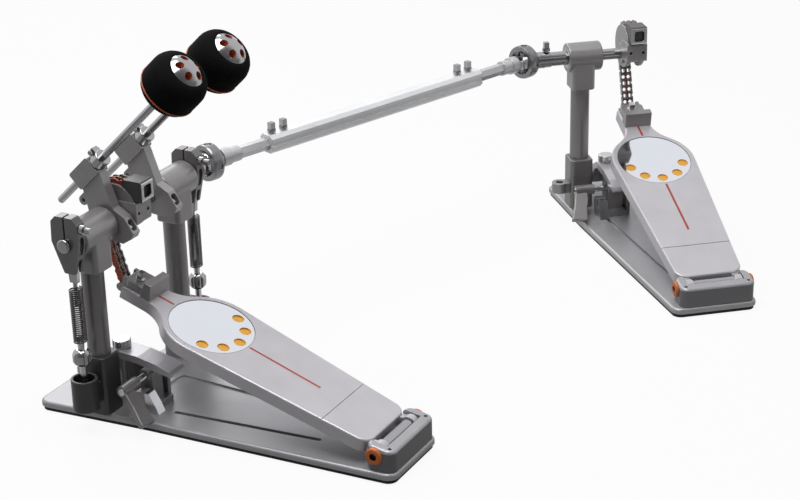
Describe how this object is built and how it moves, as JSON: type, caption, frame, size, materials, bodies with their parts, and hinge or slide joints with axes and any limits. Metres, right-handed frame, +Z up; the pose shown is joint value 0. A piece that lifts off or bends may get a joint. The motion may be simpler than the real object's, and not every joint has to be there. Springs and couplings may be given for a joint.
{
  "type": "double bass drum pedal",
  "caption": "Twin bass drum pedal: main and second foot pedals joined by a telescopic drive shaft with universal joints, chain-driven cams and felt beaters",
  "frame": {"origin": "on the floor, under the main pedal's axle, on the middle plane of its footboard", "axes": "+X along the axle towards the second pedal, +Y towards the drum, +Z up"},
  "size_m": [0.9178, 0.601, 0.4049],
  "materials": {
    "cast_grey": "satin silver-grey coat on cast aluminium",
    "board_grey": "satin light silver-grey coat on cast aluminium",
    "bright": "polished chrome",
    "steel": "bare steel",
    "dark_grey": "dark grey satin",
    "felt": "dense black felt",
    "mat": "matt black rubber",
    "disc": "mirror-polished",
    "sleeve": "anodised extrusion"
  },
  "bodies": {
    "main_frame": {"main_base_plate": "cast_grey", "main_floor_mat": "mat", "main_post_castings": "cast_grey", "main_post_tubes": "cast_grey", "main_axle_bearings": "steel", "main_heel_block": "cast_grey", "main_hinge_set": "bright", "spring_seats": "cast_grey"},
    "main_axle_body": {"main_axle": "bright", "main_cam": "cast_grey", "main_cam_chain": "steel", "near_beater_holder": "cast_grey", "near_holder_hardware": "bright", "left_rocker": "cast_grey"},
    "near_beater": {"near_beater_rod": "bright", "near_beater_head": "felt"},
    "far_hub": {"far_shaft": "bright", "far_beater_holder": "cast_grey", "far_holder_hardware": "bright", "right_rocker": "cast_grey"},
    "far_beater": {"far_beater_rod": "bright", "far_beater_head": "felt"},
    "left_spring_body": {"left_spring": "bright"},
    "right_spring_body": {"right_spring": "bright"},
    "left_hanger_body": {"left_hanger": "cast_grey"},
    "right_hanger_body": {"right_hanger": "cast_grey"},
    "left_nut": {"left_tension_nut": "bright"},
    "right_nut": {"right_tension_nut": "bright"},
    "drive_shaft": {"main_drive_rod": "bright", "drive_sleeve": "sleeve", "sleeve_bolts": "bright"},
    "second_rod": {"second_drive_rod": "bright"},
    "main_ring": {"main_joint_ring": "cast_grey"},
    "second_ring": {"second_joint_ring": "cast_grey"},
    "second_frame": {"second_base_plate": "cast_grey", "second_floor_mat": "mat", "second_post_castings": "cast_grey", "second_post_tubes": "cast_grey", "second_axle_bearings": "steel", "second_heel_block": "cast_grey", "second_hinge_set": "bright"},
    "second_axle_body": {"second_axle": "bright", "second_cam": "cast_grey", "second_cam_chain": "steel"},
    "main_board": {"main_footboard": "board_grey", "main_toe_block": "board_grey", "main_board_disc": "disc"},
    "main_chain": {"main_chain_run": "steel"},
    "main_link_1": {"main_chain_link_1": "steel"},
    "main_link_2": {"main_chain_link_2": "steel"},
    "main_arm": {"main_clamp_arm": "cast_grey"},
    "main_lever": {"main_clamp_lever": "dark_grey"},
    "second_board": {"second_footboard": "board_grey", "second_toe_block": "board_grey", "second_board_disc": "disc"},
    "second_chain": {"second_chain_run": "steel"},
    "second_link_1": {"second_chain_link_1": "steel"},
    "second_link_2": {"second_chain_link_2": "steel"},
    "second_arm": {"second_clamp_arm": "cast_grey"},
    "second_lever": {"second_clamp_lever": "dark_grey"}
  },
  "joints": [
    {"name": "main_axle_turn", "type": "hinge", "parent": "main_frame", "child": "main_axle_body", "pos_m": [0, 0, 0.212], "axis": [-1, 0, 0], "range_deg": [0, 42], "stiffness_Nm_per_rad": 2, "springref_deg": -28.65},
    {"name": "shaft_length", "type": "slide", "parent": "main_frame", "child": "second_frame", "axis": [0.9442, -0.3294, 0], "range_m": [-0.012, 0.09]},
    {"name": "second_axle_turn", "type": "hinge", "parent": "second_frame", "child": "second_axle_body", "pos_m": [0.7258, -0.2698, 0.212], "axis": [-0.6512, 0.7589, 0], "range_deg": [0, 42], "stiffness_Nm_per_rad": 2, "springref_deg": -28.65},
    {"name": "main_board_hinge", "type": "hinge", "parent": "main_frame", "child": "main_board", "pos_m": [0, -0.32, 0.027], "axis": [-1, 0, 0], "range_deg": [0, 4.3]},
    {"name": "main_chain_foot", "type": "hinge", "parent": "main_board", "child": "main_chain", "pos_m": [0, 0, 0.133], "axis": [-1, 0, 0], "range_deg": [-7.73, 0]},
    {"name": "main_chain_bend_1", "type": "hinge", "parent": "main_chain", "child": "main_link_1", "pos_m": [0, 0.0238, 0.20938], "axis": [-1, 0, 0], "range_deg": [0, 2.5]},
    {"name": "main_chain_bend_2", "type": "hinge", "parent": "main_link_1", "child": "main_link_2", "pos_m": [0, 0.02596, 0.21708], "axis": [-1, 0, 0], "range_deg": [0, 14.72]},
    {"name": "main_lever_hinge", "type": "hinge", "parent": "main_frame", "child": "main_lever", "pos_m": [-0.055, -0.037, 0.045], "axis": [-1, 0, 0], "range_deg": [0, 50]},
    {"name": "main_arm_hinge", "type": "hinge", "parent": "main_frame", "child": "main_arm", "pos_m": [-0.019, 0.022, 0.04], "axis": [-1, 0, 0], "range_deg": [0, 3]},
    {"name": "second_board_hinge", "type": "hinge", "parent": "second_frame", "child": "second_board", "pos_m": [0.48294, -0.47818, 0.027], "axis": [-0.6512, 0.7589, 0], "range_deg": [0, 4.3]},
    {"name": "second_chain_foot", "type": "hinge", "parent": "second_board", "child": "second_chain", "pos_m": [0.7258, -0.2698, 0.133], "axis": [-0.6512, 0.7589, 0], "range_deg": [-7.73, 0]},
    {"name": "second_chain_bend_1", "type": "hinge", "parent": "second_chain", "child": "second_link_1", "pos_m": [0.74386, -0.25431, 0.20938], "axis": [-0.6512, 0.7589, 0], "range_deg": [0, 2.5]},
    {"name": "second_chain_bend_2", "type": "hinge", "parent": "second_link_1", "child": "second_link_2", "pos_m": [0.7455, -0.25289, 0.21708], "axis": [-0.6512, 0.7589, 0], "range_deg": [0, 14.72]},
    {"name": "second_lever_hinge", "type": "hinge", "parent": "second_frame", "child": "second_lever", "pos_m": [0.65539, -0.24456, 0.045], "axis": [-0.6512, 0.7589, 0], "range_deg": [0, 50]},
    {"name": "second_arm_hinge", "type": "hinge", "parent": "second_frame", "child": "second_arm", "pos_m": [0.72361, -0.23347, 0.04], "axis": [-0.6512, 0.7589, 0], "range_deg": [0, 3]},
    {"name": "shaft_spin", "type": "hinge", "parent": "main_frame", "child": "drive_shaft", "pos_m": [0.165, 0, 0.212], "axis": [-0.9442, 0.3294, 0], "range_deg": [0, 37.72]},
    {"name": "second_rod_spin", "type": "hinge", "parent": "second_frame", "child": "second_rod", "pos_m": [0.63503, -0.16401, 0.212], "axis": [-0.9442, 0.3294, 0], "range_deg": [0, 37.72]},
    {"name": "main_ring_tilt", "type": "hinge", "parent": "drive_shaft", "child": "main_ring", "pos_m": [0.165, 0, 0.212], "axis": [0.3294, 0.9442, 0], "range_deg": [-12.73, 0]},
    {"name": "second_ring_tilt", "type": "hinge", "parent": "second_rod", "child": "second_ring", "pos_m": [0.63503, -0.16401, 0.212], "axis": [0.3294, 0.9442, 0], "range_deg": [0, 20.59]},
    {"name": "far_hub_turn", "type": "hinge", "parent": "main_frame", "child": "far_hub", "pos_m": [0, 0, 0.212], "axis": [-1, 0, 0], "range_deg": [0, 39.53]},
    {"name": "left_spring_swing", "type": "hinge", "parent": "main_frame", "child": "left_spring_body", "pos_m": [-0.0875, -0.003, 0.106], "axis": [-1, 0, 0], "range_deg": [-10.86, 0], "deforming": ["left_spring"]},
    {"name": "left_hanger_hinge", "type": "hinge", "parent": "main_axle_body", "child": "left_hanger_body", "pos_m": [-0.0875, -0.003, 0.188], "axis": [-1, 0, 0], "range_deg": [-52.86, 0]},
    {"name": "left_nut_turn", "type": "hinge", "parent": "main_frame", "child": "left_nut", "pos_m": [-0.0875, -0.003, 0.086], "axis": [0, 0, 1], "continuous": true},
    {"name": "right_spring_swing", "type": "hinge", "parent": "main_frame", "child": "right_spring_body", "pos_m": [0.1245, -0.003, 0.106], "axis": [-1, 0, 0], "range_deg": [-10.14, 0], "deforming": ["right_spring"]},
    {"name": "right_hanger_hinge", "type": "hinge", "parent": "far_hub", "child": "right_hanger_body", "pos_m": [0.1245, -0.003, 0.188], "axis": [-1, 0, 0], "range_deg": [-49.27, 0]},
    {"name": "right_nut_turn", "type": "hinge", "parent": "main_frame", "child": "right_nut", "pos_m": [0.1245, -0.003, 0.086], "axis": [0, 0, 1], "continuous": true},
    {"name": "near_rod_slide", "type": "slide", "parent": "main_axle_body", "child": "near_beater", "axis": [0, -0.7193, 0.6947], "range_m": [-0.012, 0.02]},
    {"name": "far_rod_slide", "type": "slide", "parent": "far_hub", "child": "far_beater", "axis": [0, -0.7193, 0.6947], "range_m": [-0.012, 0.02]}
  ],
  "couplings": [
    {"joint": "main_board_hinge", "follows": "main_axle_turn", "ratio": 0.09283},
    {"joint": "main_chain_foot", "follows": "main_axle_turn", "ratio": -0.17455},
    {"joint": "main_chain_bend_1", "follows": "main_axle_turn", "ratio": 0.05},
    {"joint": "main_chain_bend_2", "follows": "main_axle_turn", "ratio": 0.34097},
    {"joint": "main_arm_hinge", "follows": "main_lever_hinge", "ratio": 0.05},
    {"joint": "second_board_hinge", "follows": "second_axle_turn", "ratio": 0.09283},
    {"joint": "second_chain_foot", "follows": "second_axle_turn", "ratio": -0.17455},
    {"joint": "second_chain_bend_1", "follows": "second_axle_turn", "ratio": 0.05},
    {"joint": "second_chain_bend_2", "follows": "second_axle_turn", "ratio": 0.34097},
    {"joint": "second_arm_hinge", "follows": "second_lever_hinge", "ratio": 0.05},
    {"joint": "shaft_spin", "follows": "second_axle_turn", "ratio": 0.8885},
    {"joint": "second_rod_spin", "follows": "second_axle_turn", "ratio": 0.8885},
    {"joint": "main_ring_tilt", "follows": "second_axle_turn", "ratio": -0.29363},
    {"joint": "second_ring_tilt", "follows": "second_axle_turn", "ratio": 0.48068},
    {"joint": "far_hub_turn", "follows": "second_axle_turn", "ratio": 0.93166},
    {"joint": "left_spring_swing", "follows": "main_axle_turn", "ratio": -0.24894},
    {"joint": "left_hanger_hinge", "follows": "main_axle_turn", "ratio": -1.2489},
    {"joint": "right_spring_swing", "follows": "second_axle_turn", "ratio": -0.23193},
    {"joint": "right_hanger_hinge", "follows": "second_axle_turn", "ratio": -1.1636}
  ]
}
